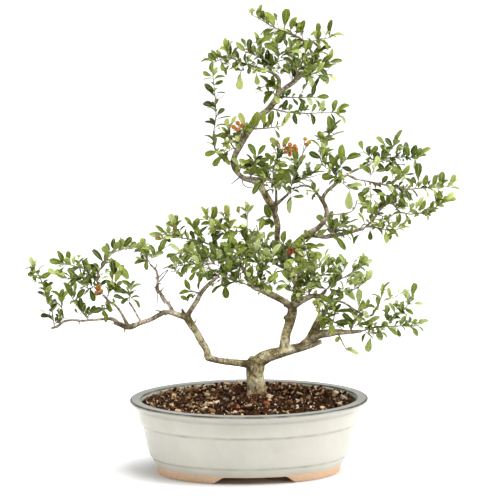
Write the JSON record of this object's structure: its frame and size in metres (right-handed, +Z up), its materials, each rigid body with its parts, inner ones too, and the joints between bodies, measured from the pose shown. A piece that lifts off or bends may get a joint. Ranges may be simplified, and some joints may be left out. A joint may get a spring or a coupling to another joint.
{
  "type": "potted firethorn bonsai",
  "caption": "Leaning firethorn bonsai with a winding trunk, spreading tiers of small leaves and a few berry bunches, growing in soil in an oval glazed pot on feet.",
  "frame": {"origin": "on the ground under the middle of the whole plant's box, 10 mm to the left of the pot's middle", "axes": "+X along the pot's long side towards the long right branch, +Y towards the back, +Z up"},
  "size_m": [0.5337, 0.23, 0.595],
  "materials": {
    "glaze": "off-white glossy glaze over stoneware, bare clay on the feet",
    "screen_mesh": "dark plastic drainage mesh",
    "soil": "dark gritty potting soil with tan grains",
    "bark": "grey-tan bark with darker patches and pores",
    "leaf_green": "leathery mid-green leaves on thin brown shoots",
    "leaf_light": "leathery light green leaves on thin brown shoots",
    "leaf_dark": "leathery dark green leaves on thin brown shoots",
    "berry_orange": "smooth orange berries",
    "berry_pale": "smooth yellow-orange berries",
    "berry_red": "smooth red berries"
  },
  "bodies": {
    "root": {"pot": "glaze", "drain_screen_left": "screen_mesh", "drain_screen_right": "screen_mesh", "soil": "soil", "trunk_and_branches": "bark", "spray_left_end": "leaf_green", "spray_left_second": "leaf_light", "spray_left_third": "leaf_dark", "spray_left_crown": "leaf_green", "spray_left_crown_low": "leaf_light", "spray_left_middle": "leaf_dark", "spray_left_peak": "leaf_green", "spray_cloud_under": "leaf_light", "spray_cloud_back": "leaf_dark", "spray_cloud_tip": "leaf_green", "spray_cloud_crest": "leaf_light", "spray_cloud_front": "leaf_dark", "spray_cloud_deep": "leaf_green", "spray_cloud_mast": "leaf_light", "spray_cloud_heart": "leaf_dark", "spray_cloud_skirt": "leaf_green", "spray_leader_low": "leaf_light", "spray_leader_foot": "leaf_dark", "spray_centre_back": "leaf_green", "spray_right_cloud_top": "leaf_light", "spray_right_cloud_middle": "leaf_dark", "spray_right_cloud_front": "leaf_green", "spray_right_cloud_back": "leaf_light", "spray_right_twigs": "leaf_dark", "spray_right_twig_low": "leaf_green", "spray_lower_stub": "leaf_light", "spray_lower_upright": "leaf_dark", "spray_lower_middle": "leaf_green", "spray_lower_hanging": "leaf_light", "spray_lower_far": "leaf_dark", "spray_right_crest": "leaf_green", "spray_right_link": "leaf_light", "spray_upper_far": "leaf_dark", "spray_right_far": "leaf_green", "spray_low_tip": "leaf_light", "spray_low_near": "leaf_dark", "spray_upper_left": "leaf_green", "spray_upper_middle": "leaf_light", "spray_upper_right": "leaf_dark", "spray_upper_back": "leaf_green", "spray_bend_cluster": "leaf_light", "spray_left_whip": "leaf_dark", "spray_apex_left": "leaf_green", "spray_apex_under": "leaf_light", "spray_apex_core_left": "leaf_dark", "spray_apex_core_right": "leaf_green", "spray_crown": "leaf_light", "spray_leader_right_high": "leaf_dark", "spray_leader_right_low": "leaf_green", "spray_leader_left_low": "leaf_light", "berries_bend": "berry_orange", "berries_upper": "berry_orange", "berries_left": "berry_orange", "berries_upper_pale": "berry_pale", "berries_leader": "berry_red"}
  },
  "joints": []
}
